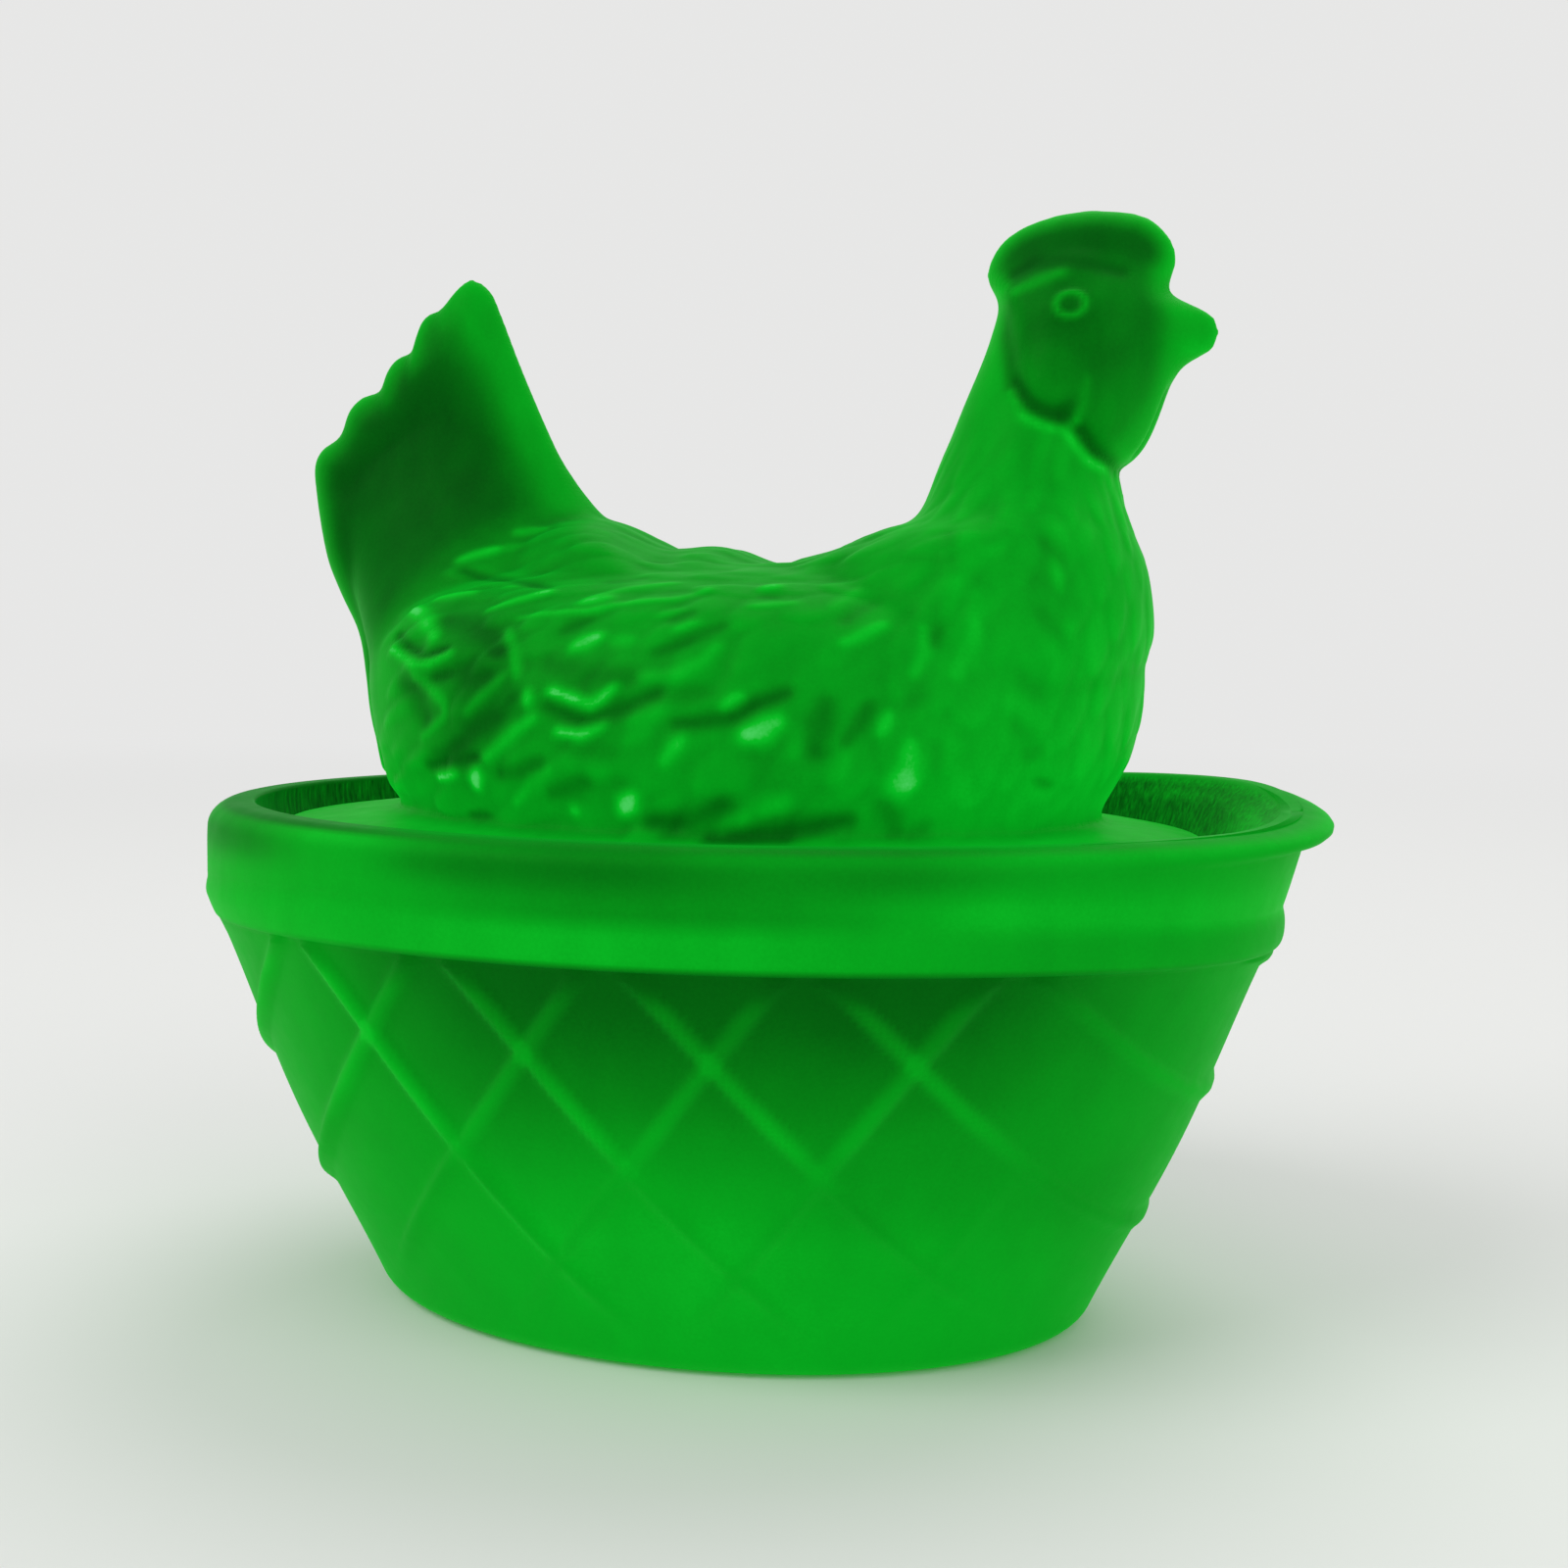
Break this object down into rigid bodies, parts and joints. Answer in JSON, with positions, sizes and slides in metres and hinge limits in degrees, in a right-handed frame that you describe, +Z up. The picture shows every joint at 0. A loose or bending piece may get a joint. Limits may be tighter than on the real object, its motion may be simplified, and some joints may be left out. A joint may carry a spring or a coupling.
{
  "type": "covered glass dish",
  "caption": "Oval pressed-glass dish: a tapered basket with raised diamond lattice, band and rolled rim, closed by a lift-off lid shaped as a sitting hen, in glowing green satin uranium glass.",
  "frame": {"origin": "middle of the basket's flat foot, on the table", "axes": "+Z up, +X toward the hen's head, +Y to the hen's left side"},
  "size_m": [0.0633, 0.05, 0.0603],
  "materials": {
    "basket_glass": "satin, translucent, glowing green",
    "hen_glass": "satin, translucent, glowing green"
  },
  "bodies": {
    "basket": {"basket_base": "basket_glass"},
    "lid": {"hen_lid": "hen_glass"}
  },
  "joints": [
    {"name": "lid_lift", "type": "slide", "parent": "basket", "child": "lid", "axis": [0, 0, 1], "range_m": [0, 0.06]}
  ]
}
